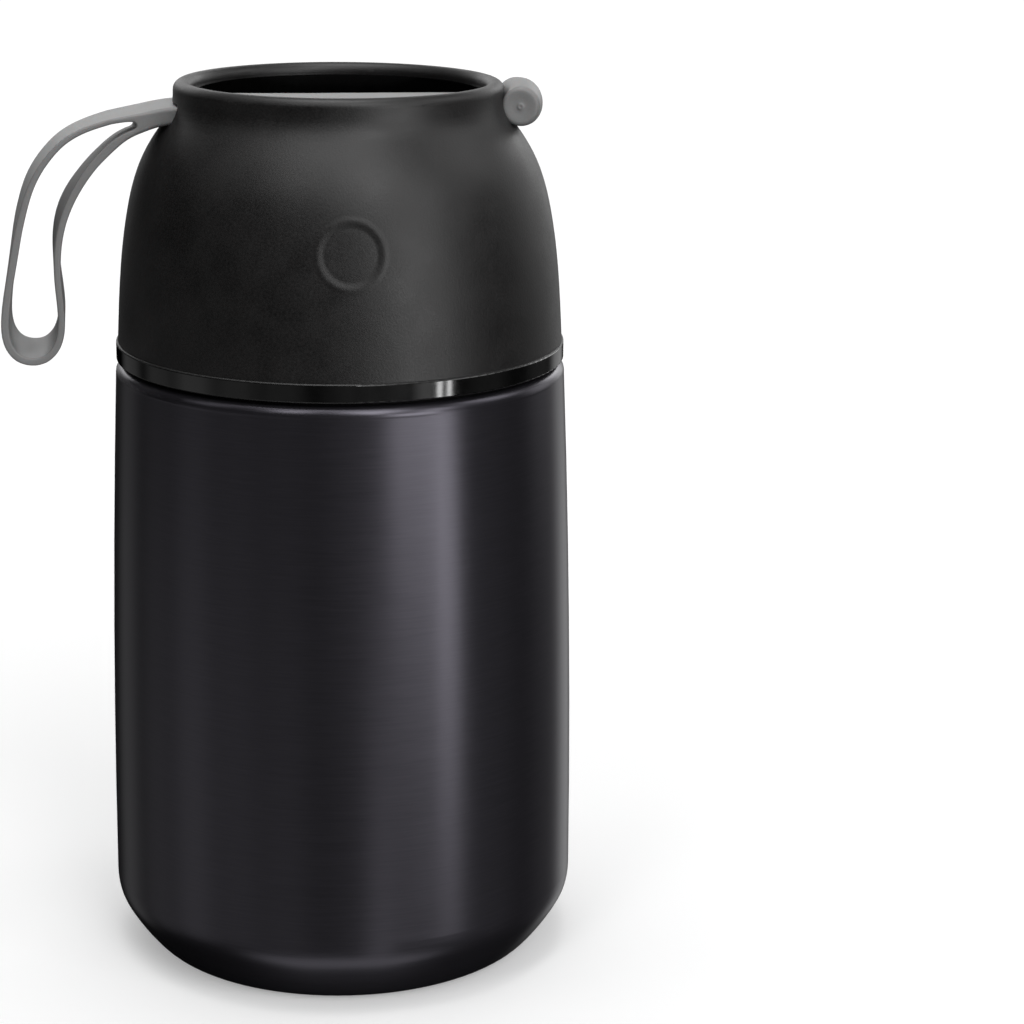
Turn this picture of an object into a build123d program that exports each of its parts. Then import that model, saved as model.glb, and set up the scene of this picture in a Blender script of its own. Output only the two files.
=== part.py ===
from build123d import *
import math
import os

# An insulated food jar: a double-walled steel vessel, a bell-shaped screw cap with a spoon
# well in its top, a screw-in stopper with a steam valve, and a silicone carry strap.
# Millimetres. The origin is the centre of the base, +Z is up, -Y is the front, and the
# strap's loop hangs on the -X side.

# ---- driving dimensions ----------------------------------------------------------------

# steel vessel
BODY_R = 50.85          # widest, just above the bottom corner
BODY_WALL = 0.6
FOOT_R = 39.3           # where the flat underside meets the corner
CORNER_H = 16.0
CORNER_POWER = 1.65     # 2 would be an ellipse, less is a softer corner
SHOULDER_R = 48.3
SHOULDER_Z = 131.3
SHOULDER_FILLET = 2.2
NECK_R = 42.0
NECK_FILLET = 0.8
LIP_Z = 152.5           # where the two walls are joined
BASE_HOLE_R = 34.0
BASE_PLATE_R = 37.5
BASE_STEP_R = 32.0
BASE_STEP = 1.6         # how far the middle of the base plate stands clear of the table
MID_BOTTOM_Z = 6.4      # top of the dimple in the disc that closes the vacuum space
MID_FLAT_R = 38.0
MID_FLARE_H = 4.0
DIMPLE_H = 2.0
DIMPLE_R = 4.5
SEAL_HOLE_R = 1.2
GETTER_R = 6.5
GETTER_H = 1.4
GETTER_X = 18.0

INNER_WALL = 0.5
INNER_R = 45.5
MOUTH_R = 40.4
FLOOR_Z = 10.5
INNER_CORNER_R = 14.0
INNER_SHOULDER_Z = 117.0
INNER_NECK_Z = 123.0
INNER_SHOULDER_FILLET = 6.0
FOIL_GAP = 0.1
FOIL_T = 0.2

# bell cap
CAP_Z = 136.0
CAP_TOP_Z = 191.15
CAP_WALL = 1.8
CAP_NECK_Z = 181.2      # above this the bell's neck is solid up to the well
RIM_R = 32.95           # centre of the rolled rim's section
RIM_SECTION_R = 1.95
SPOT_R = 7.0            # debossed spot on the front
SPOT_Z = 161.5
SPOT_DEPTH = 0.7
SPOT_LIP_R = 0.5        # rounding of the spot's outer edge
SPOT_FLOOR_R = 0.25     # rounding where its wall meets its floor

LINER_BORE_R = 43.5
LINER_TOP_Z = 151.0
RING_R = 48.1           # the liner's flange, seen as a thin ring under the cap
RING_Z = 132.0
CAP_GASKET_R = 45.2

WELL_R = 30.2
WELL_WALL = 0.8
WELL_TOP_Z = 188.7
WELL_FLOOR_Z = 168.6
WELL_CORNER_R = 5.0

CAP_FOAM_R = 36.5       # insulating ring round the outside of the well
CAP_FOAM_Z = 167.8
CAP_FOAM_TOP_Z = 178.5

# silicone strap
STRAP_WIDTH = 18.0
STRAP_T = 4.0
STRAP_Z = 184.6
BAND_T = 1.7
SLOT_GAP = 0.3
BAR_R = 3.85            # at the middle of the barrel-shaped T-bar
BAR_END_R = 3.5
BAR_LENGTH = 20.5
BAR_X = 39.5
BAR_Z = 186.4
BAR_SKEW = 8.5
BAR_FILLET = 1.6
BAR_CROWN = 150.0
GATE_R = 0.8            # moulding gate, a dimple in each end of the bar
HINGE_X = -39.5
KNUCKLE_R = 2.0
TONGUE_END_X = -36.6
CROTCH_X = -44.8        # where the band splits in two
LOOP_YAW = 6.0
SLOT_FILLET = 0.9
STRAP_FILLET = 1.2

# stopper and valve
STOPPER_R = 39.2
STOPPER_WALL = 2.0
STOPPER_FLOOR_Z = 131.0
FLANGE_R = 42.2
FLANGE_Z = 154.5
COVER_Z = 156.5
COVER_TOP_Z = 160.9
FOAM_Z = 137.8
FOAM_TOP_Z = 149.5
COVER_PLUG_Z = 152.0    # how deep the cover's ring plugs into the stopper's bore
DISH_Z = 158.2          # floor of the finger dish round the button
GRIP_NOTCHES = 16
NOTCH_R = 5.0
NOTCH_DEPTH = 0.7
GUIDE_R = 5.0
GUIDE_BORE_R = 3.2
GUIDE_TOP_Z = 146.0
STEM_R = 2.4
BUTTON_R = 11.0
BUTTON_GAP = 0.3
BUTTON_TOP_Z = 161.2
SPRING_TURNS = 4
SPRING_WIRE_R = 0.4
SPRING_R = 4.2
SPRING_TOP_Z = 153.5
SKIRT_Z = 152.5
STEM_TOP_Z = 158.0
POPPET_R = 7.5
POPPET_Z = 128.6
SEAL_Z = 130.2
DISH_R = 60.0
DISH_DEPTH = 0.7

SEAT_GAP = 0.05         # between a gasket and the faces it is screwed against


# ---- helpers ---------------------------------------------------------------------------

def turned(*corners):
    """A solid turned about Z from a closed outline of (radius, height, corner fillet)."""
    path = FilletPolyline(*[(r, z) for r, z, _ in corners],
                          radius=[fillet for _, _, fillet in corners], close=True)
    return revolve(Plane.XZ * make_face(path), Axis.Z)


def tube(r_in, r_out, z_low, z_high):
    """A plain ring."""
    return turned((r_in, z_low, 0), (r_out, z_low, 0), (r_out, z_high, 0), (r_in, z_high, 0))


def disc(radius, z_low, z_high):
    """A plain round slab."""
    return Pos(0, 0, z_low) * Cylinder(radius, z_high - z_low,
                                       align=(Align.CENTER, Align.CENTER, Align.MIN))


def inset(curve, distance, samples=9):
    """A smooth curve beside this one, towards the axis."""
    points = []
    for i in range(samples):
        place, along = curve @ (i / (samples - 1)), curve % (i / (samples - 1))
        points.append((place.X - distance * along.Y, place.Y + distance * along.X))
    return Spline(*points)


def save(name, solid):
    """Writes one node's STEP file."""
    solid.label = name
    export_step(solid, f"parts/{name}.step")


# ---- steel vessel ----------------------------------------------------------------------

def body_form(depth):
    """The solid inside the outer wall, this deep under its surface, up to the lip."""
    def corner(angle):
        turn = math.radians(angle)
        across, up = BODY_R - FOOT_R - depth, CORNER_H - depth
        return (FOOT_R + across * math.sin(turn) ** (2 / CORNER_POWER),
                CORNER_H - up * math.cos(turn) ** (2 / CORNER_POWER))

    knee = (SHOULDER_R - depth, SHOULDER_Z - SHOULDER_FILLET - 0.4)
    top = SHOULDER_Z - depth
    round_corner = Spline(corner(0), corner(30), corner(60), corner(90),
                          tangents=[(1, 0), (0, 1)])
    side = TangentArc(corner(90), knee, tangent=(0, 1))
    shoulder = FilletPolyline(knee, (SHOULDER_R - depth, top), (NECK_R - depth, top),
                              (NECK_R - depth, LIP_Z), (0, LIP_Z), (0, depth), (FOOT_R, depth),
                              radius=[SHOULDER_FILLET - depth, NECK_FILLET + depth, 0, 0, 0])
    return revolve(Plane.XZ * make_face([round_corner, side, *shoulder.edges()]), Axis.Z)


def outer_shell():
    shell = body_form(0) - body_form(BODY_WALL)
    return shell - disc(BASE_HOLE_R, 0, BODY_WALL)


def vessel_form(depth):
    """The solid inside the inner vessel's outer face, this deep under it, up to the lip."""
    wall, neck = INNER_R - depth, MOUTH_R + INNER_WALL - depth
    floor = FLOOR_Z - INNER_WALL + depth
    return turned((0, floor, 0), (wall, floor, INNER_CORNER_R - depth),
                  (wall, INNER_SHOULDER_Z, INNER_SHOULDER_FILLET - depth),
                  (neck, INNER_NECK_Z, INNER_SHOULDER_FILLET + depth),
                  (neck, LIP_Z, 0), (0, LIP_Z, 0))


def inner_vessel():
    """The food vessel, whose lip is rolled out over the outer wall and welded to it."""
    middle = (MOUTH_R + NECK_R) / 2
    section = NECK_R - middle
    roll = Pos(middle, LIP_Z) * Circle(section) & Pos(middle, LIP_Z) * Rectangle(
        2 * section, section, align=(Align.CENTER, Align.MIN))
    return (vessel_form(0) - vessel_form(INNER_WALL)) + revolve(Plane.XZ * roll, Axis.Z)


def mid_bottom():
    """Dished disc welded inside the corner, with a dimple for the sealing pellet."""
    low, top = MID_BOTTOM_Z - DIMPLE_H, MID_BOTTOM_Z
    skirt_r = FOOT_R + 10
    under = [(0, top, 0), (DIMPLE_R, top, 0.5), (DIMPLE_R + 1.5, low, 0.5),
             (MID_FLAT_R, low, 1), (skirt_r, low + MID_FLARE_H, 0)]
    over = [(r, z + BODY_WALL, fillet) for r, z, fillet in reversed(under)]
    hole = disc(SEAL_HOLE_R, top - BODY_WALL, top + 2 * BODY_WALL)
    return (turned(*under, *over) - hole) & body_form(BODY_WALL)


def vacuum_seal():
    """Solder pellet, melted into the dimple over the evacuation hole."""
    low, rim = MID_BOTTOM_Z - DIMPLE_H / 2, DIMPLE_R - 0.6
    return turned((0, low, 0), (rim, low, 0.5), (rim, MID_BOTTOM_Z, 0), (0, MID_BOTTOM_Z, 0))


def getter():
    """Gas-absorbing tablet on top of the middle bottom."""
    seat = MID_BOTTOM_Z - DIMPLE_H + BODY_WALL
    top = seat + GETTER_H
    return Pos(GETTER_X, 0, 0) * turned((0, seat, 0), (GETTER_R, seat, 0),
                                        (GETTER_R, top, 0.3), (0, top, 0))


def reflective_foil():
    """Foil wrapped round the straight part of the inner vessel."""
    inside = INNER_R + FOIL_GAP
    return tube(inside, inside + FOIL_T, FLOOR_Z + INNER_CORNER_R + 2, INNER_SHOULDER_Z - 5)


def outer_base():
    """Base plate: its rim lies on the turned-in edge of the outer wall."""
    low, high = BODY_WALL, BODY_WALL + BASE_STEP
    under = [(0, high, 0), (BASE_STEP_R - 3, high, 1), (BASE_STEP_R, low, 1),
             (BASE_PLATE_R, low, 0)]
    over = [(r, z + BODY_WALL, fillet) for r, z, fillet in reversed(under)]
    return turned(*under, *over)


# ---- bell cap --------------------------------------------------------------------------

def bell_curve():
    """The bell's outer profile, from the liner's ring up to the side of the rolled rim."""
    return Spline((47.7, CAP_Z), (46.85, 150), (45.1, 163.5), (42.1, 174.0), (38.3, 180.6),
                  (35.9, 184.2), (34.9, CAP_TOP_Z - RIM_SECTION_R),
                  tangents=[(-0.05, 1), (0, 1)])


def bell_form(depth):
    """The solid inside the bell's outer face, this deep under it, with no rim."""
    side = inset(bell_curve(), depth) if depth else bell_curve()
    low, high = side @ 0, side @ 1
    outline = Polyline((high.X, high.Y), (0, high.Y), (0, low.Y), (low.X, low.Y))
    return revolve(Plane.XZ * make_face([side, *outline.edges()]), Axis.Z)


def strap_slots():
    """The two windows in the neck of the bell that the strap passes through."""
    low, high = STRAP_Z - STRAP_T / 2, STRAP_Z + STRAP_T / 2 + SLOT_GAP
    window = Plane.YZ * Pos(0, (low + high) / 2) * RectangleRounded(
        STRAP_WIDTH + 2 * SLOT_GAP, high - low, SLOT_FILLET)
    return extrude(window, amount=BODY_R, both=True)


def spot_recess():
    """A shallow round recess that follows the bell, at the front."""
    plug = Pos(0, -BODY_R, SPOT_Z) * Rot(90, 0, 0) * Cylinder(SPOT_R, BODY_R)
    return plug - bell_form(SPOT_DEPTH)


def spot_edges(shell):
    """The round edges of the spot, from the outermost inwards."""
    def is_round(edge):
        box = edge.bounding_box()
        return (box.max.Y < 0 and abs(box.center().Z - SPOT_Z) < SPOT_DEPTH
                and SPOT_R < box.size.X < 3 * SPOT_R and SPOT_R < box.size.Z < 3 * SPOT_R)

    return sorted(filter(is_round, shell.edges()), key=lambda edge: edge.bounding_box().min.Y)


def cap_shell():
    rim = revolve(Plane.XZ * Pos(RIM_R, CAP_TOP_Z - RIM_SECTION_R) * Circle(RIM_SECTION_R),
                  Axis.Z)
    hollow = bell_form(CAP_WALL) & disc(BODY_R, CAP_Z, CAP_NECK_Z)
    well_hole = disc(WELL_R + WELL_WALL, CAP_NECK_Z - 1, CAP_TOP_Z - RIM_SECTION_R)
    shell = bell_form(0) - hollow + rim - well_hole - strap_slots() - spot_recess()
    shell = fillet(spot_edges(shell)[0], SPOT_LIP_R)
    return fillet(spot_edges(shell)[-1], SPOT_FLOOR_R)


def cap_liner():
    """The threaded liner: a collar bonded inside the bell, and the ring seen under it."""
    collar = tube(LINER_BORE_R, BODY_R, CAP_Z, LINER_TOP_Z) & bell_form(CAP_WALL)
    ring = turned((LINER_BORE_R, RING_Z, 0.4), (RING_R, RING_Z, 0.4), (RING_R, CAP_Z, 0.4),
                  (LINER_BORE_R, CAP_Z, 0))
    return collar + ring


def well_cup():
    """The cup that lines the recess for the folded spoon."""
    def form(radius, floor, corner):
        return turned((0, floor, 0), (radius, floor, corner), (radius, WELL_TOP_Z, 0),
                      (0, WELL_TOP_Z, 0))

    cup = form(WELL_R + WELL_WALL, WELL_FLOOR_Z - WELL_WALL, WELL_CORNER_R + WELL_WALL)
    return cup - form(WELL_R, WELL_FLOOR_Z, WELL_CORNER_R) - strap_slots()


def cap_gasket():
    """The dark ring between the cap's ring and the vessel's shoulder."""
    return tube(NECK_R + NECK_FILLET + 0.4, CAP_GASKET_R, SHOULDER_Z + SEAT_GAP,
                RING_Z - SEAT_GAP)


def cap_foam():
    """Insulating ring round the outside of the well, inside the bell."""
    inside = WELL_R + WELL_WALL + 0.3
    return turned((inside, CAP_FOAM_Z, 1), (CAP_FOAM_R, CAP_FOAM_Z, 1),
                  (CAP_FOAM_R, CAP_FOAM_TOP_Z, 2), (inside, CAP_FOAM_TOP_Z, 0))


# ---- strap -----------------------------------------------------------------------------

def strap_tongue():
    """The part of the strap that crosses the cap, and the T-bar that stops it."""
    section = Plane.YZ * Pos(0, STRAP_Z) * RectangleRounded(STRAP_WIDTH, STRAP_T,
                                                            STRAP_FILLET)
    tongue = Pos(TONGUE_END_X, 0, 0) * extrude(section, amount=BAR_X - TONGUE_END_X)
    end = BAR_LENGTH / 2
    bar = turned((0, -end, 0), (BAR_END_R, -end, BAR_FILLET), (BAR_R, 0, BAR_CROWN),
                 (BAR_END_R, end, BAR_FILLET), (0, end, 0))
    bar -= Pos(0, 0, end) * Sphere(GATE_R) + Pos(0, 0, -end) * Sphere(GATE_R)
    return tongue + Pos(BAR_X, 0, BAR_Z) * Rot(0, 0, -BAR_SKEW) * Rot(90, 0, 0) * bar


def strap_loop():
    """The hanging loop: one band that splits from the root and comes back to it."""
    start, end = (HINGE_X - 0.5, STRAP_Z + 0.5), (HINGE_X - 0.5, STRAP_Z - 1.6)
    line = Spline(start, (-49.0, 183.4), (-58.3, 179.1), (-64.8, 169.6), (-69.0, 156.5),
                  (-71.4, 141.5), (-66.0, 133.4), (-59.6, 142.0), (-60.0, 155.5),
                  (-56.8, 167.2), (-48.2, 177.6), end)
    outside, inside = inset(line, -BAND_T / 2, 25), inset(line, BAND_T / 2, 25)
    band = make_face([outside, Line(outside @ 1, inside @ 1), inside,
                      Line(inside @ 0, outside @ 0)])
    root = make_face(Polyline((HINGE_X, STRAP_Z + 2), (CROTCH_X, STRAP_Z + 0.6),
                              (CROTCH_X, STRAP_Z - 4.8), (HINGE_X, STRAP_Z - 2), close=True))
    past_hinge = Pos(HINGE_X - 1.2, STRAP_Z) * Rectangle(20, 20, align=(Align.MIN, Align.CENTER))
    outline = Plane.XZ * (band + root - past_hinge)
    hinge = Pos(HINGE_X, 0, 0)
    loop = hinge * Rot(0, 0, LOOP_YAW) * hinge.inverse() * extrude(
        outline, amount=STRAP_WIDTH / 2, both=True)
    knuckle = Pos(HINGE_X, 0, STRAP_Z) * Rot(90, 0, 0) * Cylinder(KNUCKLE_R, STRAP_WIDTH)
    return loop + knuckle


# ---- stopper and valve -----------------------------------------------------------------

def stopper_body():
    """Hollow plug with a flange, a floor and a guide tube for the valve."""
    bore, floor = STOPPER_R - STOPPER_WALL, STOPPER_FLOOR_Z + STOPPER_WALL
    return turned((GUIDE_BORE_R, STOPPER_FLOOR_Z, 0), (STOPPER_R, STOPPER_FLOOR_Z, 2),
                  (STOPPER_R, FLANGE_Z, 0), (FLANGE_R, FLANGE_Z, 0.3), (FLANGE_R, COVER_Z, 0),
                  (bore, COVER_Z, 0), (bore, floor, 1), (GUIDE_R, floor, 0.5),
                  (GUIDE_R, GUIDE_TOP_Z, 0), (GUIDE_BORE_R, GUIDE_TOP_Z, 0))


def stopper_foam():
    """Insulating ring in the closed space of the stopper, with room to slide."""
    inside, outside = GUIDE_R + 0.3, STOPPER_R - STOPPER_WALL - 0.3
    return turned((inside, FOAM_Z, 1), (outside, FOAM_Z, 1.5), (outside, FOAM_TOP_Z, 0),
                  (inside, FOAM_TOP_Z, 0))


def stopper_cover():
    """Top of the stopper: a grip rim round a dish, and the well of the steam button."""
    well, plug, low = BUTTON_R + BUTTON_GAP, STOPPER_R - STOPPER_WALL, FOAM_TOP_Z + 0.5
    collar_z = COVER_TOP_Z - 1
    cover = turned((well, low, 0), (well + 1.7, low, 0), (well + 1.7, COVER_Z, 0.5),
                   (plug - 2, COVER_Z, 0.5), (plug - 2, COVER_PLUG_Z, 0),
                   (plug, COVER_PLUG_Z, 0.3), (plug, COVER_Z, 0), (FLANGE_R, COVER_Z, 0),
                   (FLANGE_R, COVER_TOP_Z, 1.2), (FLANGE_R - 3.6, COVER_TOP_Z, 1),
                   (FLANGE_R - 5, DISH_Z, 1), (well + 3.2, DISH_Z, 1),
                   (well + 2.2, collar_z, 0.6), (well, collar_z, 0.3))
    notch = disc(NOTCH_R, COVER_Z + 1.2, COVER_TOP_Z + 1)
    return cover - PolarLocations(FLANGE_R + NOTCH_R - NOTCH_DEPTH, GRIP_NOTCHES) * notch


def stopper_gasket():
    """Ring between the stopper's flange and the vessel's lip."""
    lip_top = LIP_Z + (NECK_R - MOUTH_R) / 2
    return tube(STOPPER_R + 0.15, NECK_R, lip_top + SEAT_GAP, FLANGE_Z - SEAT_GAP)


def valve_button():
    """Steam button with a dished top, a skirt, and a boss that holds the stem."""
    under = BUTTON_TOP_Z - 1.6
    skirt = BUTTON_R - 1.2
    button = turned((0, BUTTON_TOP_Z, 0), (BUTTON_R, BUTTON_TOP_Z, 0.8),
                    (BUTTON_R, SKIRT_Z, 0), (skirt, SKIRT_Z, 0),
                    (skirt, under, 0.5), (GUIDE_R, under, 0.5), (GUIDE_R, SPRING_TOP_Z, 0),
                    (STEM_R, SPRING_TOP_Z, 0), (STEM_R, STEM_TOP_Z, 0), (0, STEM_TOP_Z, 0))
    return button - Pos(0, 0, BUTTON_TOP_Z + DISH_R - DISH_DEPTH) * Sphere(DISH_R)


def valve_stem():
    """Stem, and the poppet that shuts the bore from below."""
    return turned((0, POPPET_Z, 0), (POPPET_R, POPPET_Z, 0.5), (POPPET_R, SEAL_Z, 0.3),
                  (STEM_R, SEAL_Z, 0.3), (STEM_R, STEM_TOP_Z, 0), (0, STEM_TOP_Z, 0))


def valve_seal():
    return tube(GUIDE_BORE_R + 0.4, POPPET_R - 0.7, SEAL_Z, STOPPER_FLOOR_Z)


def valve_spring():
    """Coil spring between the guide tube and the button's boss."""
    height = SPRING_TOP_Z - GUIDE_TOP_Z - 2 * SPRING_WIRE_R
    coil = Helix(height / SPRING_TURNS, height, SPRING_R)
    wire = Plane(origin=coil @ 0, z_dir=coil % 0) * Circle(SPRING_WIRE_R)
    return Pos(0, 0, GUIDE_TOP_Z + SPRING_WIRE_R) * sweep(wire, path=coil)


# ---- the nodes -------------------------------------------------------------------------

NODES = (outer_shell, inner_vessel, mid_bottom, vacuum_seal, getter, reflective_foil,
         outer_base, cap_shell, cap_liner, well_cup, cap_gasket, cap_foam, strap_tongue,
         strap_loop, stopper_body, stopper_foam, stopper_cover, stopper_gasket,
         valve_button, valve_stem, valve_seal, valve_spring)


def main():
    os.makedirs("parts", exist_ok=True)
    for node in NODES:
        save(node.__name__, node())


if __name__ == "__main__":
    main()
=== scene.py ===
import math

import bmesh
import bpy
import numpy as np
from mathutils import Matrix, Vector, geometry


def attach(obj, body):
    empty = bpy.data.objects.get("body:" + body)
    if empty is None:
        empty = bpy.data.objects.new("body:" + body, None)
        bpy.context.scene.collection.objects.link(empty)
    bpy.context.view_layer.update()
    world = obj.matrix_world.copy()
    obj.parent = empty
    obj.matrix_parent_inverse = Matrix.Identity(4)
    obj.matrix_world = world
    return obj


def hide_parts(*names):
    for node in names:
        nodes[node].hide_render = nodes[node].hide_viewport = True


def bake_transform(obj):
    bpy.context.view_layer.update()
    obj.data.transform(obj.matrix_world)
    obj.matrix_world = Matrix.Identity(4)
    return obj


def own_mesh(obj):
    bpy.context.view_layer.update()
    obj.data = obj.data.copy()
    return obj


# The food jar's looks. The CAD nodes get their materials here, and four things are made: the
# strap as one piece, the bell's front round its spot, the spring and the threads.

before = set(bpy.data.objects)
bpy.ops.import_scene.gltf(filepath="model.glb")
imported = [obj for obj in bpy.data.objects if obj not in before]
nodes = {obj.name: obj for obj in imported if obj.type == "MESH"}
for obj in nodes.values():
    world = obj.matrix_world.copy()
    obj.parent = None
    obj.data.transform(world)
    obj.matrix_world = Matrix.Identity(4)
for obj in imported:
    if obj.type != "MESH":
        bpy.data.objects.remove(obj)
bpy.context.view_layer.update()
scene = bpy.context.scene
MM = 0.001


# ---- camera ------------------------------------------------------------------------------

CAMERA_PLACE = (-0.028368, -0.601534, 0.260750)
CAMERA_RIGHT = (0.994278, -0.106418, 0.009325)
CAMERA_UP = (0.019041, 0.262442, 0.964760)
CAMERA_FORWARD = (0.105115, 0.959062, -0.262966)
LENS_MM = 99.758
SENSOR_MM = 36.0

camera_data = bpy.data.cameras.new("camera")
camera_data.sensor_width = SENSOR_MM
camera_data.lens = LENS_MM
camera = bpy.data.objects.new("camera", camera_data)
scene.collection.objects.link(camera)
turn = Matrix((CAMERA_RIGHT, CAMERA_UP, tuple(-v for v in CAMERA_FORWARD))).transposed()
camera.matrix_world = Matrix.Translation(CAMERA_PLACE) @ turn.to_4x4()
scene.camera = camera
scene.view_settings.view_transform = "Standard"


# ---- node helpers --------------------------------------------------------------------------

class Tree:
    """Adds nodes to a node tree, with links and values given by socket name or index."""

    def __init__(self, tree):
        self.tree = tree
        tree.nodes.clear()

    def add(self, kind, inputs=None, **settings):
        node = self.tree.nodes.new(kind)
        for name, value in settings.items():
            setattr(node, name, value)
        for key, value in (inputs or {}).items():
            if isinstance(value, bpy.types.NodeSocket):
                self.tree.links.new(value, node.inputs[key])
            else:
                node.inputs[key].default_value = value
        return node

    def math(self, operation, *values):
        node = self.add("ShaderNodeMath", dict(enumerate(values)), operation=operation)
        return node.outputs[0]

    def ramp(self, value, low, high, out_low, out_high, smooth=False):
        kind = "SMOOTHSTEP" if smooth else "LINEAR"
        node = self.add("ShaderNodeMapRange",
                        {"Value": value, "From Min": low, "From Max": high,
                         "To Min": out_low, "To Max": out_high}, interpolation_type=kind)
        return node.outputs["Result"]

    def mix(self, factor, first, second):
        node = self.add("ShaderNodeMix", {0: factor, 6: first, 7: second}, data_type="RGBA")
        return node.outputs[2]


# ---- studio --------------------------------------------------------------------------------

VIEW_AZIMUTH = -2.7     # the camera's azimuth; the lights' azimuths are counted from it

# The studio's soft patches of light: azimuth with its half width and softness, elevation with
# its half height and softness (degrees), and radiance. The wide rows are the ceiling and the
# wall behind the jar, and the rest are panels. They are listed one by one, and the radiance of
# most was fitted to the photograph's shading.
LIGHTS = (
    ("window", 50.8, 1.35, 0.5, -11, 5, 2, 12.0),
    ("window", 56.2, 1.2, 0.5, -11, 5, 2, 12.0),
    ("key", 43, 5, 4, -11, 5, 3, 0.77),
    ("key", 43, 5, 4, 2, 8, 4, 6.88),
    ("key", 43, 5, 4, 18, 8, 4, 2.11),
    ("key", 30, 6, 5, -11, 5, 3, 0.18),
    ("key", 30, 6, 5, 2, 8, 4, 6.75),
    ("key", 18, 6, 5, -30, 14, 6, 0.67),
    ("key", 18, 6, 5, 32, 12, 6, 4.9),
    ("key", 53, 6, 4, 28, 10, 6, 4.78),
    ("front_box", -30, 9, 6, 47, 11, 7, 4.81),
    ("front_box", 10, 9, 6, 47, 11, 7, 4.2),
    ("front_box", 30, 9, 6, 47, 11, 7, 4.9),
    ("overhead", 0, 181, 1, 88, 10, 6, 6.3),
    ("overhead_front", 0, 60, 15, 68, 7, 6, 2.14),
    ("overhead_left", -100, 40, 15, 68, 7, 6, 2.47),
    ("overhead_back", 180, 40, 15, 68, 7, 6, 2.5),
    ("back_right", 80, 11, 7, -22, 12, 6, 0.09),
    ("back_right", 80, 11, 7, 8, 14, 6, 0.05),
    ("back_right", 80, 11, 7, 40, 14, 7, 0.77),
    ("back_right", 100, 11, 7, 40, 14, 7, 2.41),
    ("back_right", 122, 11, 7, -22, 12, 6, 0.08),
    ("back_right", 122, 11, 7, 8, 14, 6, 1.0),
    ("back_right", 122, 11, 7, 40, 14, 7, 0.21),
    ("back_right", 150, 11, 7, -22, 12, 6, 0.66),
    ("back_right", 150, 11, 7, 8, 14, 6, 1.4),
    ("back_left", -30, 11, 7, -22, 12, 6, 0.18),
    ("back_left", -55, 11, 7, -22, 12, 6, 0.26),
    ("back_left", -80, 11, 7, -22, 12, 6, 0.42),
    ("back_left", -80, 11, 7, 40, 14, 7, 0.82),
    ("back_left", -105, 11, 7, -22, 12, 6, 0.23),
    ("back_left", -135, 11, 7, -22, 12, 6, 0.19),
    ("back_left", -135, 11, 7, 8, 14, 6, 0.16),
    ("back_left", -135, 11, 7, 40, 14, 7, 0.17),
    ("back_left", -165, 11, 7, 8, 14, 6, 0.58),
    ("low_front", 0, 60, 15, -60, 15, 8, 0.88),
    ("front_fill", 4, 8, 14, -6, 12, 8, 0.18),
    ("back_wall", 180, 42, 15, 20, 9, 7, 1.8),
)
LIGHT_MAP_SIZE = 2048       # fine enough for the two narrow windows

world = bpy.data.worlds.new("studio")
scene.world = world
world.use_nodes = True
t = Tree(world.node_tree)
place = t.add("ShaderNodeTexCoord").outputs["Generated"]
axes = t.add("ShaderNodeSeparateXYZ", {0: place}).outputs
ahead = t.math("MULTIPLY", axes["Y"], -1.0)
azimuth = t.math("DEGREES", t.math("ARCTAN2", axes["X"], ahead))
elevation = t.math("DEGREES", t.math("ARCSINE", axes["Z"]))
total = 0.0
for _, az, az_half, az_soft, el, el_half, el_soft, radiance in LIGHTS:
    off = t.math("WRAP", t.math("SUBTRACT", azimuth, az + VIEW_AZIMUTH), -180.0, 180.0)
    across = t.ramp(t.math("ABSOLUTE", off), az_half + az_soft, az_half - az_soft, 0.0, 1.0,
                    True)
    off = t.math("ABSOLUTE", t.math("SUBTRACT", elevation, el))
    along = t.ramp(off, el_half + el_soft, el_half - el_soft, 0.0, 1.0, True)
    total = t.math("MULTIPLY_ADD", t.math("MULTIPLY", across, along), radiance, total)
sky = t.add("ShaderNodeBackground", {"Color": (1, 1, 1, 1), "Strength": total})
t.add("ShaderNodeOutputWorld", {0: sky.outputs[0]})
world.cycles.sampling_method = "MANUAL"
world.cycles.sample_map_resolution = LIGHT_MAP_SIZE


def new_material(name):
    """An empty material and its tree."""
    made = bpy.data.materials.new(name)
    made.use_nodes = True
    return made, Tree(made.node_tree)


def only_seen(obj):
    """Leaves obj to the camera alone, so that no surface mirrors it."""
    obj.visible_diffuse = obj.visible_glossy = obj.visible_transmission = False
    obj.visible_shadow = obj.visible_volume_scatter = False


def disc_object(name, radius, segments=96):
    """A flat disc at the origin."""
    mesh = bpy.data.meshes.new(name)
    form = bmesh.new()
    bmesh.ops.create_circle(form, cap_ends=True, radius=radius, segments=segments)
    form.to_mesh(mesh)
    form.free()
    obj = bpy.data.objects.new(name, mesh)
    scene.collection.objects.link(obj)
    return obj


BACKDROP_R = 6.0
BACKDROP_GLOW = 1.05
FLOOR_R = 1.2
FLOOR_GREY = 0.62
FLOOR_GLOW = 0.31

backdrop_mesh = bpy.data.meshes.new("backdrop")
form = bmesh.new()
bmesh.ops.create_icosphere(form, subdivisions=4, radius=BACKDROP_R)
form.to_mesh(backdrop_mesh)
form.free()
backdrop = bpy.data.objects.new("backdrop", backdrop_mesh)
scene.collection.objects.link(backdrop)
white, t = new_material("backdrop_white")
glow = t.add("ShaderNodeEmission", {"Color": (1, 1, 1, 1), "Strength": BACKDROP_GLOW})
t.add("ShaderNodeOutputMaterial", {0: glow.outputs[0]})
backdrop_mesh.materials.append(white)
only_seen(backdrop)

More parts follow.
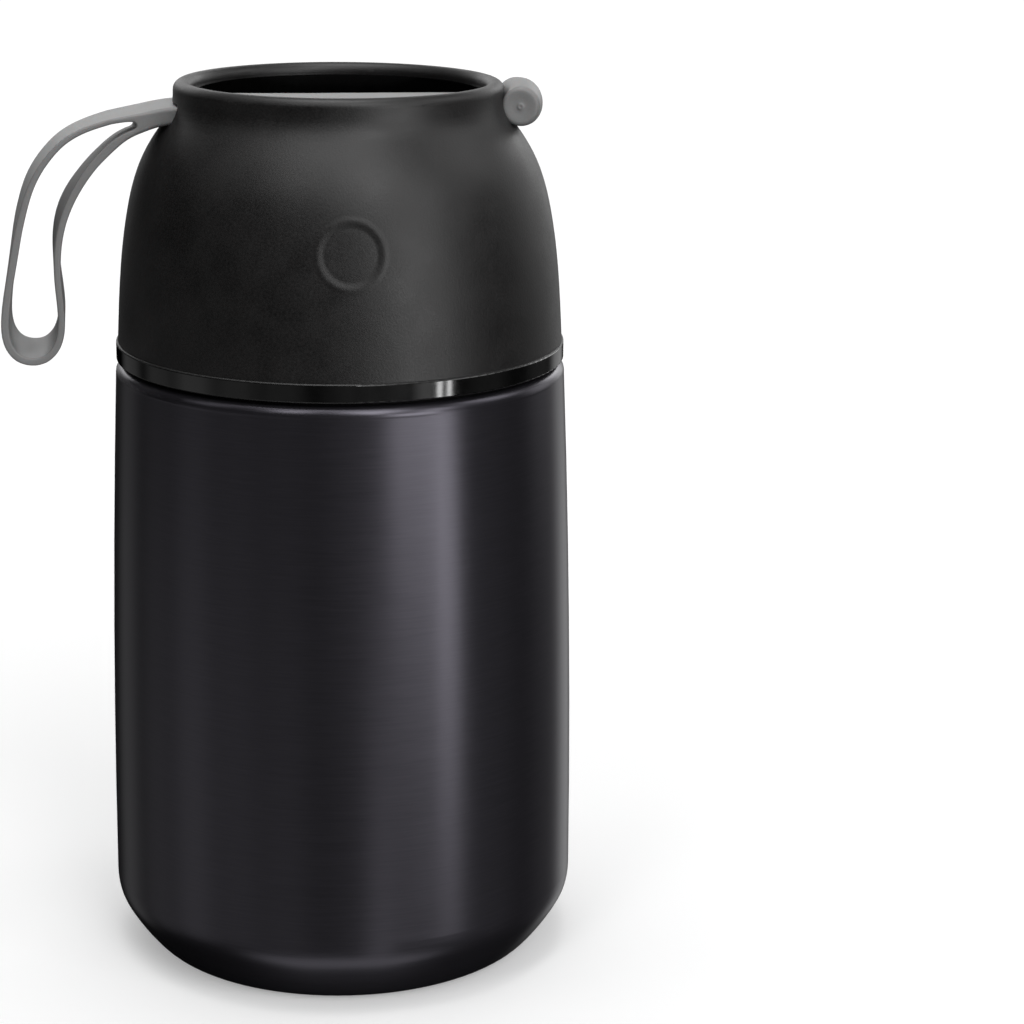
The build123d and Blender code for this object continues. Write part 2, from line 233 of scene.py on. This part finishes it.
floor = disc_object("floor", FLOOR_R)
paper, t = new_material("floor_white")
matte = t.add("ShaderNodeBsdfDiffuse", {"Color": (FLOOR_GREY,) * 3 + (1,)})
glow = t.add("ShaderNodeEmission", {"Color": (1, 1, 1, 1), "Strength": FLOOR_GLOW})
both = t.add("ShaderNodeAddShader", {0: matte.outputs[0], 1: glow.outputs[0]})
t.add("ShaderNodeOutputMaterial", {0: both.outputs[0]})
floor.data.materials.append(paper)
only_seen(floor)


# ---- materials -----------------------------------------------------------------------------
# Lengths and heights in this section are in metres, as the shaders read them.

BRUSH_STRETCH = 0.035       # how fast a brushed grain changes round the axis, against along it
BRUSH_MIDDLE = 0.075        # walls lean outwards below this height and inwards above it
BROAD_GRAIN = 0.07          # scale of the broad tone against the fine grain
BROAD_SHARE = 0.35          # its share of the tone
BROAD_SHARE_BRUSHED = 0.08
TONE_ENDS = (0.3, 0.7)      # where the tone reaches the dark and the light end
BARE_STEEL = (0.58, 0.58, 0.59, 1)
DULLER = 0.4                # added to the roughness at dull edges
EDGE = 0.0001               # width of a step between two finishes


def finish_of(name, dark, light, grain, roughness, bump, metallic=0.0, specular=0.5,
              brushed=False, subsurface=0.0, bare_above=None, dull_edges=None):
    """A moulded or metal finish: two close tones, roughness range and bump from one grain.

    dark and light are colours, grain is the size of the texture in metres, roughness is a
    (smooth, rough) pair and bump is the height of the grain in metres. A brushed finish has
    its grain drawn out round the axis. Above the height bare_above it is bare steel, and
    outside the two heights dull_edges it is rougher.
    """
    made, t = new_material(name)
    spot = t.add("ShaderNodeTexCoord").outputs["Object"]
    x, y, z = t.add("ShaderNodeSeparateXYZ", {0: spot}).outputs
    if brushed:
        radius = t.math("SQRT", t.math("ADD", t.math("MULTIPLY", x, x),
                                       t.math("MULTIPLY", y, y)))
        side = t.ramp(z, BRUSH_MIDDLE - EDGE, BRUSH_MIDDLE + EDGE, 1.0, -1.0)
        across = t.math("MULTIPLY_ADD", radius, side, z)
        spot = t.add("ShaderNodeCombineXYZ",
                     {0: t.math("MULTIPLY", x, BRUSH_STRETCH),
                      1: t.math("MULTIPLY", y, BRUSH_STRETCH), 2: across}).outputs[0]
    fine = t.add("ShaderNodeTexNoise", {"Vector": spot, "Scale": 1 / grain, "Detail": 3.0,
                                        "Roughness": 0.6}).outputs[0]
    broad = t.add("ShaderNodeTexNoise", {"Vector": spot, "Scale": BROAD_GRAIN / grain,
                                         "Detail": 2.0}).outputs[0]
    share = BROAD_SHARE_BRUSHED if brushed else BROAD_SHARE
    tone = t.math("MULTIPLY_ADD", broad, share, t.math("MULTIPLY", fine, 1 - share))
    colour = t.mix(t.ramp(tone, *TONE_ENDS, 0.0, 1.0), (*dark, 1), (*light, 1))
    rough = t.ramp(tone, *TONE_ENDS, *roughness)
    if bare_above is not None:
        bare = t.ramp(z, bare_above - EDGE / 2, bare_above + EDGE / 2, 0.0, 1.0)
        colour = t.mix(bare, colour, BARE_STEEL)
        metallic = t.ramp(bare, 0.0, 1.0, metallic, 1.0)
    if dull_edges is not None:
        low = t.ramp(z, dull_edges[0] - EDGE, dull_edges[0], 1.0, 0.0)
        high = t.ramp(z, dull_edges[1], dull_edges[1] + EDGE, 0.0, 1.0)
        rough = t.math("MULTIPLY_ADD", t.math("ADD", low, high), DULLER, rough)
    height = t.add("ShaderNodeBump", {"Height": fine, "Strength": 1.0, "Distance": bump})
    inputs = {"Base Color": colour, "Roughness": rough, "Metallic": metallic,
              "Specular IOR Level": specular, "Normal": height.outputs[0],
              "Subsurface Weight": subsurface, "Subsurface Scale": 0.002}
    if brushed:
        inputs["Anisotropic"] = 0.4
        inputs["Anisotropic Rotation"] = 0.25
        inputs["Tangent"] = t.add("ShaderNodeTangent", direction_type="RADIAL",
                                  axis="Z").outputs[0]
    surface = t.add("ShaderNodeBsdfPrincipled", inputs)
    t.add("ShaderNodeOutputMaterial", {0: surface.outputs[0]})
    return made


finishes = {
    "coated_steel": finish_of("coated_steel", (0.063, 0.0598, 0.0715), (0.073, 0.069, 0.0822),
                              0.00032, (0.275, 0.305), 0.0000006, metallic=0.85, brushed=True,
                              bare_above=0.1317),
    "bare_steel": finish_of("bare_steel", (0.52, 0.52, 0.53), (0.64, 0.64, 0.65), 0.0003,
                            (0.22, 0.34), 0.000003, metallic=1.0, brushed=True),
    "solder": finish_of("solder", (0.30, 0.31, 0.32), (0.52, 0.53, 0.54), 0.0012,
                        (0.30, 0.50), 0.00008, metallic=1.0),
    "getter_metal": finish_of("getter_metal", (0.16, 0.16, 0.17), (0.26, 0.26, 0.27), 0.0004,
                              (0.45, 0.60), 0.00003, metallic=1.0),
    "copper_foil": finish_of("copper_foil", (0.78, 0.36, 0.22), (0.90, 0.50, 0.34), 0.004,
                             (0.16, 0.30), 0.0002, metallic=1.0),
    "soft_touch_black": finish_of("soft_touch_black", (0.0014, 0.0012, 0.0012),
                                  (0.0090, 0.0083, 0.0083), 0.00045, (0.38, 0.52),
                                  0.000030),
    "liner_black": finish_of("liner_black", (0.002, 0.002, 0.002), (0.004, 0.004, 0.004),
                             0.0015, (0.08, 0.11), 0.000002, specular=0.65,
                             dull_edges=(0.13235, 0.13565)),
    "gloss_black": finish_of("gloss_black", (0.0010, 0.0010, 0.0010), (0.0020, 0.0020, 0.0020),
                             0.0015, (0.08, 0.14), 0.000003, specular=0.3),
    "gasket_black": finish_of("gasket_black", (0.006, 0.006, 0.006), (0.010, 0.010, 0.010),
                              0.0003, (0.60, 0.72), 0.00001),
    "strap_grey": finish_of("strap_grey", (0.178, 0.178, 0.178), (0.206, 0.206, 0.206),
                            0.00035, (0.42, 0.54), 0.000012, subsurface=0.1),
    "stopper_black": finish_of("stopper_black", (0.011, 0.011, 0.011), (0.018, 0.018, 0.018),
                               0.0003, (0.36, 0.48), 0.00001),
    "foam_white": finish_of("foam_white", (0.72, 0.72, 0.70), (0.84, 0.84, 0.82), 0.0016,
                            (0.75, 0.90), 0.00018, subsurface=0.1),
    "gasket_clear": finish_of("gasket_clear", (0.60, 0.61, 0.60), (0.72, 0.73, 0.72), 0.0006,
                              (0.30, 0.42), 0.00001, subsurface=0.4),
    "button_grey": finish_of("button_grey", (0.20, 0.20, 0.205), (0.25, 0.25, 0.255), 0.0003,
                             (0.38, 0.50), 0.00001),
    "spring_steel": finish_of("spring_steel", (0.48, 0.48, 0.49), (0.60, 0.60, 0.61), 0.0004,
                              (0.18, 0.28), 0.000004, metallic=1.0),
}

for node in nodes.values():
    for place in node.material_slots:
        slot = place.material.name.split(".")[0]
        if slot in finishes:
            place.material = finishes[slot]


# ---- mesh helpers --------------------------------------------------------------------------

def smooth_step(value, low, high):
    """0 up to low, 1 from high on, and a smooth rise between them."""
    share = np.clip((value - low) / (high - low), 0, 1)
    return share * share * (3 - 2 * share)


def through(points, step):
    """Points about step apart on the C2 cubic spline through the given points.

    The first two columns are the place; any others ride along with them.
    """
    given = np.array(points, float)
    count = len(given)
    gaps = np.linalg.norm(np.diff(given[:, :2], axis=0), axis=1)
    knots = np.concatenate([[0.0], np.cumsum(gaps)])
    system, right = np.eye(count), np.zeros_like(given)
    for i in range(1, count - 1):
        system[i, i - 1:i + 2] = gaps[i - 1], 2 * (gaps[i - 1] + gaps[i]), gaps[i]
        right[i] = 6 * ((given[i + 1] - given[i]) / gaps[i]
                        - (given[i] - given[i - 1]) / gaps[i - 1])
    bend = np.linalg.solve(system, right)
    along = np.linspace(0, knots[-1], max(2, round(knots[-1] / step)) + 1)
    k = np.clip(np.searchsorted(knots, along, side="right") - 1, 0, count - 2)
    gap = gaps[k][:, None]
    back, ahead = (knots[k + 1] - along)[:, None], (along - knots[k])[:, None]
    return ((bend[k] * back ** 3 + bend[k + 1] * ahead ** 3) / (6 * gap)
            + (given[k] / gap - bend[k] * gap / 6) * back
            + (given[k + 1] / gap - bend[k + 1] * gap / 6) * ahead)


def normals_left(line, closed=False):
    """Unit normals on the left of a 2-D line's direction."""
    if closed:
        along = np.roll(line, -1, 0) - np.roll(line, 1, 0)
    else:
        along = np.gradient(line, axis=0)
    along = along / np.linalg.norm(along, axis=1)[:, None]
    return np.stack([-along[:, 1], along[:, 0]], 1)


def piece(name, mesh, slot):
    """An object with the mesh, the slot and the slot's finish."""
    mesh.materials.clear()
    mesh.materials.append(finishes[slot])
    obj = bpy.data.objects.new(name, mesh)
    scene.collection.objects.link(obj)
    return obj


def built(name, points, faces, slot):
    """A smooth piece from points in mm and faces, with its normals turned outwards."""
    mesh = bpy.data.meshes.new(name)
    mesh.from_pydata([tuple(MM * c for c in p) for p in points], [], faces)
    mesh.polygons.foreach_set("use_smooth", [True] * len(mesh.polygons))
    form = bmesh.new()
    form.from_mesh(mesh)
    bmesh.ops.recalc_face_normals(form, faces=form.faces)
    form.to_mesh(mesh)
    form.free()
    return piece(name, mesh, slot)


def cad_mesh(node):
    """A copy of a CAD node's mesh, in the frame's own place."""
    mesh = node.data.copy()
    mesh.transform(node.matrix_world)
    return mesh


def applied(obj, kind, **settings):
    """obj with one modifier applied to its mesh."""
    modifier = obj.modifiers.new(kind, kind)
    for name, value in settings.items():
        setattr(modifier, name, value)
    bpy.context.view_layer.update()
    shape = obj.evaluated_get(bpy.context.evaluated_depsgraph_get())
    made = bpy.data.meshes.new_from_object(shape)
    obj.modifiers.clear()
    obj.data = made
    return obj


# ---- strap ---------------------------------------------------------------------------------
# One silicone moulding: the tongue across the cap, the T-bar, and the loop, which is a band
# that splits from the root and comes back to it. Its near side is drawn in X and Z (mm), and
# it is carried across its width to the far side, with rounded edges.

STRAP_HALF = 9.0
TONGUE_TOP = 186.6
TONGUE_LOW = 182.6
TONGUE_BOW = 0.7            # how much higher it runs across the well
BOW_FADE = (26.0, 34.0)     # the distance from the axis over which it comes down again
LOOP_YAW = 6.0              # degrees
YAW_START = (33.0, 43.0)    # the distance from the axis over which the loop turns
PIVOT_X = -39.5
HOLE_EDGE_R = 0.42          # edge radius inside the loop
STRAP_STEP = 0.7            # distance between points along the band
TONGUE_STEP = 0.9
ROOT_STEP = 0.3

# centre line of the band's near side: x, z, half thickness, twist (degrees), rise across; it
# was fitted to the strap's edges in the photograph
BAND = ((-48.7, 183.6, 0.56, 3.7, -0.3), (-55.1, 181.5, 0.59, 3.9, -0.5),
        (-58.6, 179.4, 0.62, 4.1, -0.5), (-61.5, 176.5, 0.64, 4.3, -0.4),
        (-64.2, 172.7, 0.68, 4.4, -0.3), (-65.9, 169.1, 0.71, 4.4, -0.2),
        (-66.9, 166.1, 0.74, 4.2, -0.1), (-67.8, 162.9, 0.77, 3.9, 0.0),
        (-68.5, 160.0, 0.80, 3.5, 0.0), (-69.3, 156.1, 0.82, 2.9, 0.0),
        (-70.65, 149.4, 0.83, 2.0, 0.2), (-71.55, 143.5, 0.84, 1.5, 0.5),
        (-71.65, 139.9, 0.84, 1.4, 0.6), (-70.95, 136.85, 0.84, 1.4, 0.7),
        (-69.4, 134.75, 0.83, 1.4, 0.7), (-66.9, 133.65, 0.81, 1.4, 0.8),
        (-63.8, 134.0, 0.79, 1.5, 0.8), (-61.5, 136.0, 0.77, 1.6, 0.9),
        (-60.3, 139.0, 0.75, 1.9, 1.0), (-60.0, 142.7, 0.74, 2.3, 1.2),
        (-60.15, 146.0, 0.73, 2.7, 1.4), (-60.45, 150.0, 0.73, 3.1, 1.6),
        (-60.5, 153.8, 0.74, 3.4, 1.6), (-60.25, 157.3, 0.75, 3.6, 1.4),
        (-59.7, 160.5, 0.76, 3.7, 1.1), (-58.9, 163.4, 0.78, 3.7, 0.7),
        (-56.8, 168.2, 0.82, 3.6, -0.1), (-54.7, 171.65, 0.87, 3.5, -0.8),
        (-52.2, 174.9, 0.92, 3.5, -1.3), (-48.7, 178.35, 0.96, 3.6, -1.6))

band = through(BAND, STRAP_STEP)
left = normals_left(band[:, :2])
carried = np.column_stack([np.full(len(band), HOLE_EDGE_R), band[:, 3:]])
outside = np.column_stack([band[:, :2] - left * band[:, 2:3], carried])
inside = np.column_stack([band[:, :2] + left * band[:, 2:3], carried])
# outlines of the whole strap and of the hole in its loop: x, z, edge radius, twist, rise
rim = np.concatenate([
    through([(36.5, TONGUE_TOP, 0.9, 0, 0), (10, TONGUE_TOP, 0.9, 0, 0),
             (-20, TONGUE_TOP, 0.9, 0, 0), (-31.0, TONGUE_TOP, 0.9, 0, 0),
             (-36.1, 186.3, 0.85, 1.2, 0), (-42.9, 185.2, 0.65, 3.0, -0.1),
             tuple(outside[0])], TONGUE_STEP)[:-1],
    outside[:-1],
    through([tuple(outside[-1]), (-45.2, 179.85, 0.6, 3.4, -1.5),
             (-41.3, 181.5, 0.75, 2.8, -1.2), (-37.4, 182.45, 0.85, 1.4, -0.5),
             (-31.0, TONGUE_LOW, 0.9, 0, 0), (-20, TONGUE_LOW, 0.9, 0, 0),
             (10, TONGUE_LOW, 0.9, 0, 0), (36.5, TONGUE_LOW, 0.9, 0, 0)], TONGUE_STEP),
])
rim[:, 1] += TONGUE_BOW * (1 - smooth_step(abs(rim[:, 0]), *BOW_FADE))
hole = np.concatenate([
    inside[:-1],
    through([tuple(inside[-1]), (-44.6, 181.75, HOLE_EDGE_R, 3.7, -1.5),
             (-43.35, 182.6, HOLE_EDGE_R, 3.7, -1.2), (-43.5, 183.15, HOLE_EDGE_R, 3.7, -0.8),
             (-44.8, 183.5, HOLE_EDGE_R, 3.7, -0.4), tuple(inside[0])], ROOT_STEP)[1:-1],
])


def side_rings(line, inward):
    """Rings across the width, as X, Z, share of the width, twist and rise."""
    radius = line[:, 2]
    turns = np.radians([90, 72, 54, 36, 18, 0])
    rings = []
    for angle in turns:
        offset = (radius * (1 - np.cos(angle)))[:, None]
        rings.append((line[:, :2] + inward * offset, radius * (1 - np.sin(angle))))
    for share in np.linspace(0.1, 0.9, 9):
        rings.append((line[:, :2], np.full(len(line), share * 2 * STRAP_HALF)))
    for angle in turns[::-1]:
        offset = (radius * (1 - np.cos(angle)))[:, None]
        rings.append((line[:, :2] + inward * offset,
                      2 * STRAP_HALF - radius * (1 - np.sin(angle))))
    return [np.column_stack([flat, across, line[:, 3:]]) for flat, across in rings]


def across_strap(x, z, across, twist, rise):
    """Points of the strap: its loop is turned towards the front, and twisted."""
    yaw = np.radians(LOOP_YAW) * smooth_step(-x, *YAW_START)
    reach = x - PIVOT_X
    return np.stack([PIVOT_X + reach * np.cos(yaw) + STRAP_HALF * np.sin(yaw)
                     - across * np.sin(np.radians(twist)),
                     reach * np.sin(yaw) - STRAP_HALF * np.cos(yaw)
                     + across * np.cos(np.radians(twist)),
                     z + rise * across / (2 * STRAP_HALF)], 1)


def side_faces(outer, inner):
    """Triangles that fill the room between two outlines, as indices into both together."""
    edges = [(i, (i + 1) % len(outer)) for i in range(len(outer))]
    edges += [(len(outer) + i, len(outer) + (i + 1) % len(inner)) for i in range(len(inner))]
    flat = np.concatenate([outer, inner])
    made = geometry.delaunay_2d_cdt([Vector(p) for p in flat], edges, [], 1, 1e-7)
    faces = [tuple(made[3][i][0] for i in face) for face in made[2]]
    before, after = inner, np.roll(inner, -1, 0)
    kept = []
    for face in faces:
        x, z = flat[list(face)].mean(0)
        spans = (before[:, 1] > z) != (after[:, 1] > z)
        cross = before[spans] + ((z - before[spans, 1]) / (after[spans, 1] - before[spans, 1])
                                 )[:, None] * (after[spans] - before[spans])
        if (cross[:, 0] > x).sum() % 2 == 0:
            kept.append(face)
    return kept


def strap_mesh():
    """Points and faces of the strap without its T-bar."""
    points, faces, ends = [], [], []
    for line, side in ((rim, 1), (hole, -1)):
        rings = side_rings(line, side * normals_left(line[:, :2], True))
        start, count = len(points), len(line)
        for ring in rings:
            points.extend(ring)
        for r in range(len(rings) - 1):
            for i in range(count):
                j = (i + 1) % count
                low = start + r * count
                faces.append((low + i, low + j, low + count + j, low + count + i))
        ends.append((range(start, start + count),
                     range(start + (len(rings) - 1) * count, start + len(rings) * count)))
    flat = [np.array([points[i][:2] for i in ends[k][0]]) for k in (0, 1)]
    filled = side_faces(*flat)
    for side in (0, 1):
        order = [*ends[0][side], *ends[1][side]]
        faces.extend(tuple(order[i] for i in face) for face in filled)
    return across_strap(*np.array(points).T), faces


def turned_mesh(outline, segments):
    """Points and faces turned about Z from (radius, height) points, closed on the axis."""
    points, faces = [], []
    low, high = outline[0], outline[-1]
    for radius, height in outline[1:-1]:
        for i in range(segments):
            angle = math.tau * i / segments
            points.append((radius * math.cos(angle), radius * math.sin(angle), height))
    rows = len(outline) - 2
    for row in range(rows - 1):
        for i in range(segments):
            j = (i + 1) % segments
            faces.append((row * segments + i, row * segments + j,
                          (row + 1) * segments + j, (row + 1) * segments + i))
    points.append((0, 0, low[1]))
    points.append((0, 0, high[1]))
    for i in range(segments):
        j = (i + 1) % segments
        faces.append((len(points) - 2, j, i))
        faces.append((len(points) - 1, (rows - 1) * segments + i,
                      (rows - 1) * segments + j))
    return points, faces


BAR_CENTRE = Vector((37.9, 0, 186.35))
BAR_HALF = 9.4
BAR_END_R = 4.05
BAR_EDGE_R = 0.85
BAR_MIDDLE = 1.6            # from each end to the first ring of the middle
BAR_TURN = 2.5              # degrees
BAR_BOW = 1.15              # how much further out its middle stands
BAR_SWELL = (0.02, 0.16)    # how much fuller its middle is, outwards and upwards
BAR_SEGMENTS = 64
# radius and depth of the mark that the mould's gate leaves in each end
GATE_MARK = ((0, 0.12), (0.25, 0.10), (0.45, -0.02), (0.65, 0.14), (1.1, 0.22), (1.9, 0.14),
             (2.7, 0.03), (BAR_END_R - BAR_EDGE_R, 0))


def bar_outline():
    """Half outline of the T-bar: rounded ends with a gate mark in each."""
    low = -BAR_HALF
    end = [(radius, low + depth) for radius, depth in GATE_MARK]
    for angle in np.radians([15, 30, 45, 60, 75, 90]):
        end.append((BAR_END_R - BAR_EDGE_R * (1 - math.sin(angle)),
                    low + BAR_EDGE_R * (1 - math.cos(angle))))
    first = low + BAR_MIDDLE
    middle = [(BAR_END_R, h) for h in np.linspace(first, -first, 9)]
    return [*end, *middle, *[(r, -h) for r, h in reversed(end)]]


def bar_bent(point):
    """The bar's middle is fuller and stands further from the cap's round side."""
    x, y, z = point
    bow = 1 - (z / BAR_HALF) ** 2
    outwards, upwards = BAR_SWELL
    return Vector((x * (1 + outwards * bow) + BAR_BOW * bow, y * (1 + upwards * bow), z))


points, faces = strap_mesh()
strap = built("strap", points, faces, "strap_grey")
points, faces = turned_mesh(bar_outline(), BAR_SEGMENTS)
place = (Matrix.Translation(BAR_CENTRE) @ Matrix.Rotation(math.radians(-BAR_TURN), 4, "Z")
         @ Matrix.Rotation(math.radians(90), 4, "X"))
bar = built("bar", [place @ bar_bent(p) for p in points], faces, "strap_grey")
applied(strap, "BOOLEAN", operation="UNION", object=bar, solver="MANIFOLD")
bpy.data.objects.remove(bar)
applied(strap, "WEIGHTED_NORMAL", keep_sharp=True)
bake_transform(strap)
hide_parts("strap_tongue", "strap_loop")


# ---- bell ----------------------------------------------------------------------------------
# The photograph's spot is softer and a little smaller than the CAD's. The bell's front is laid
# again over a disc round it: a low lip, an easy wall and a level floor.

SPOT_Z = 161.5
SPOT_DISC = 8.7             # radius of the disc that is laid again
SPOT_WALL = (5.15, 6.9)     # radii of the wall's foot and top
SPOT_LIP = 7.9              # radius where the lip has died out
SPOT_LIP_HEIGHT = 0.06
SPOT_DEPTH = 0.22
BELL_SKIN = 1.2             # less than the bell's wall, so that its inner side is left
BELL_RUN = (145.0, 179.0)   # heights between which the bell's outer side is read
BESIDE_SLOPE = 0.6          # it is read where the way sideways is over this share of forwards
LEVEL_COUNT = 8             # vertices on a level that belongs to the bell's own mesh
READ_STEP = 0.2
FLOOR_RADII = np.linspace(0.8, 4.8, 6)
WALL_RADII = (*np.arange(5.0, 8.3, 0.12), SPOT_DISC - 0.1)
COARSE, FINE = 32, 96       # points on a ring within FINE_FROM and beyond it
FINE_FROM = 4.5
LEAN_REACH = 0.3            # half of the height over which the bell's lean is read
SLOPE_REACH = 0.02          # the same for the spot's slope


def spot_height(d):
    """Height of the spot's form over the bell at distance d from its centre (mm)."""
    wall = (SPOT_DEPTH + SPOT_LIP_HEIGHT) * smooth_step(d, *SPOT_WALL) - SPOT_DEPTH
    lip = SPOT_LIP_HEIGHT * (1 - smooth_step(d, SPOT_WALL[1], SPOT_LIP))
    return np.where(d < SPOT_WALL[1], wall, lip)


def outward(vert):
    """Whether a vertex of the bell lies on its outer side."""
    return vert.normal.x * vert.co.x + vert.normal.y * vert.co.y > 0.5 * math.hypot(*vert.co.xy)


def bell_sides(form):
    """Radius of the bell's outer side against height (mm), read beside the spot."""
    levels = {}
    for vert in form.verts:
        x, y, z = vert.co
        beside_spot = abs(x) > -BESIDE_SLOPE * y > 0
        if beside_spot and BELL_RUN[0] < z / MM < BELL_RUN[1] and outward(vert):
            levels.setdefault(round(z / MM, 3), []).append(math.hypot(x, y) / MM)
    heights = sorted(h for h in levels if len(levels[h]) > LEVEL_COUNT)
    return through([(h, sum(levels[h]) / len(levels[h])) for h in heights], READ_STEP)


def edge_loop(form, faces):
    """The vertices round a patch of a mesh's faces, in order."""
    rim_edges = [edge for edge in form.edges
                 if sum(face in faces for face in edge.link_faces) == 1]
    beside = {}
    for edge in rim_edges:
        for vert in edge.verts:
            beside.setdefault(vert, []).append(edge.other_vert(vert))
    loop = [rim_edges[0].verts[0]]
    while len(loop) < 2 or loop[-1] is not loop[0]:
        ahead = beside[loop[-1]]
        loop.append(ahead[1] if len(loop) > 1 and ahead[0] is loop[-2] else ahead[0])
    return loop[:-1]


def spot_rings():
    """Points in rings round the spot's centre, as X and Z (mm)."""
    places = [(0, SPOT_Z)]
    for radius in (*FLOOR_RADII, *WALL_RADII):
        count = FINE if radius > FINE_FROM else COARSE
        for angle in (math.tau * i / count for i in range(count)):
            places.append((radius * math.cos(angle), SPOT_Z + radius * math.sin(angle)))
    return places


def bell_mesh(mesh):
    """The bell's mesh with the disc round its spot laid again."""
    kept = mesh.attributes.new("kept", "FLOAT_VECTOR", "CORNER")
    kept.data.foreach_set("vector", [c for n in mesh.corner_normals for c in n.vector])
    form = bmesh.new()
    form.from_mesh(mesh)
    bmesh.ops.remove_doubles(form, verts=form.verts, dist=1e-7)
    sides = bell_sides(form)

    def near(vert):
        x, y, z = vert.co / MM
        return (y < 0 and math.hypot(x, z - SPOT_Z) < SPOT_DISC
                and math.hypot(x, y) > np.interp(z, *sides.T) - BELL_SKIN)

    old = {face for face in form.faces if any(near(vert) for vert in face.verts)}
    loop, rings = edge_loop(form, old), spot_rings()
    flat = [(vert.co.x / MM, vert.co.z / MM) for vert in loop] + rings
    made = geometry.delaunay_2d_cdt([Vector(p) for p in flat],
                                    [(i, (i + 1) % len(loop)) for i in range(len(loop))],
                                    [], 1, 1e-6)
    bmesh.ops.delete(form, geom=list(old), context="FACES")
    verts = list(loop)
    for x, z in rings:
        reach = np.interp(z, *sides.T) + spot_height(np.array(math.hypot(x, z - SPOT_Z)))
        verts.append(form.verts.new((x * MM, -math.sqrt(reach ** 2 - x ** 2) * MM, z * MM)))
    for face in made[2]:
        corners = [made[3][i][0] for i in face]
        form.faces.new([verts[i] for i in corners]).smooth = True
    laid = bpy.data.meshes.new("bell")
    form.to_mesh(laid)
    form.free()
    set_normals(laid, sides)
    return laid


def set_normals(mesh, sides):
    """Gives the old faces the CAD's normals and the new ones those of their form."""
    kept = mesh.attributes["kept"]
    normals, places = np.empty(3 * len(mesh.loops)), np.empty(3 * len(mesh.vertices))
    corners = np.empty(len(mesh.loops), int)
    kept.data.foreach_get("vector", normals)
    mesh.vertices.foreach_get("co", places)
    mesh.loops.foreach_get("vertex_index", corners)
    mesh.attributes.remove(kept)
    normals = normals.reshape(-1, 3)
    new = np.linalg.norm(normals, axis=1) < 0.5
    x, y, z = places.reshape(-1, 3)[corners[new]].T / MM
    lean = (np.interp(z + LEAN_REACH, *sides.T)
            - np.interp(z - LEAN_REACH, *sides.T)) / (2 * LEAN_REACH)
    away = np.hypot(x, z - SPOT_Z)
    rise = spot_height(away + SLOPE_REACH) - spot_height(away - SLOPE_REACH)
    slope = rise / (2 * SLOPE_REACH) / np.maximum(away, 0.1)
    around = np.hypot(x, y)
    facing = np.stack([x / around - slope * x, y / around, -lean - slope * (z - SPOT_Z)], 1)
    normals[new] = facing / np.linalg.norm(facing, axis=1)[:, None]
    mesh.normals_split_custom_set(normals.tolist())


bell = piece("bell", bell_mesh(cad_mesh(nodes["cap_shell"])), "soft_touch_black")
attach(bell, "cap")
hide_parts("cap_shell")


# ---- spring --------------------------------------------------------------------------------
# The valve's spring is a piece of its own, carried by the stopper.

spring = piece("button_spring", cad_mesh(nodes["valve_spring"]), "spring_steel")
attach(spring, "stopper")
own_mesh(spring)
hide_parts("valve_spring")


# ---- threads -------------------------------------------------------------------------------

THREAD_SECTION = ((-1.0, 0.0), (-0.72, 0.35), (-0.35, 0.85), (0.0, 1.0), (0.35, 0.85),
                  (0.72, 0.35), (1.0, 0.0))     # shares of the half width and the height
THREAD_STEPS = 90           # steps in a turn
THREAD_FADE = 12            # steps over which each end grows
THREAD_SINK = 0.01          # how far its feet lie in the wall

# name, body, slot, wall's radius, height, height of its start, lead, turns, half width
THREADS = (
    ("neck_thread", "vessel", "bare_steel", 42.0, 0.9, 139.0, 6.0, 1.5, 1.1),
    ("cap_thread", "cap", "liner_black", 43.5, -0.9, 136.0, 6.0, 1.5, 1.1),
    ("mouth_thread", "vessel", "bare_steel", 40.4, -0.8, 139.0, 4.5, 1.0, 0.85),
    ("stopper_thread", "stopper", "stopper_black", 39.2, 0.8, 141.25, 4.5, 1.0, 0.85),
)


def thread(name, body, slot, radius, height, z_low, lead, turns, half_width):
    """A helical ridge on a bore or neck; height is negative where it points inwards."""
    steps = round(turns * THREAD_STEPS)
    foot = -math.copysign(THREAD_SINK, height)
    points, faces = [], []
    for i in range(steps + 1):
        angle = math.tau * turns * i / steps
        fade = float(smooth_step(np.array(min(i, steps - i)), -1, THREAD_FADE))
        for across, out in THREAD_SECTION:
            r = radius + (height * out * fade if out > 0 else foot)
            points.append((r * math.cos(angle), r * math.sin(angle),
                           z_low + lead * angle / math.tau + across * half_width * fade))
    n = len(THREAD_SECTION)
    for i in range(steps):
        for k in range(n):
            faces.append((i * n + k, i * n + (k + 1) % n, (i + 1) * n + (k + 1) % n,
                          (i + 1) * n + k))
    faces.append(tuple(range(n)))
    faces.append(tuple(steps * n + k for k in range(n)))
    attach(built(name, points, faces, slot), body)


for row in THREADS:
    thread(*row)
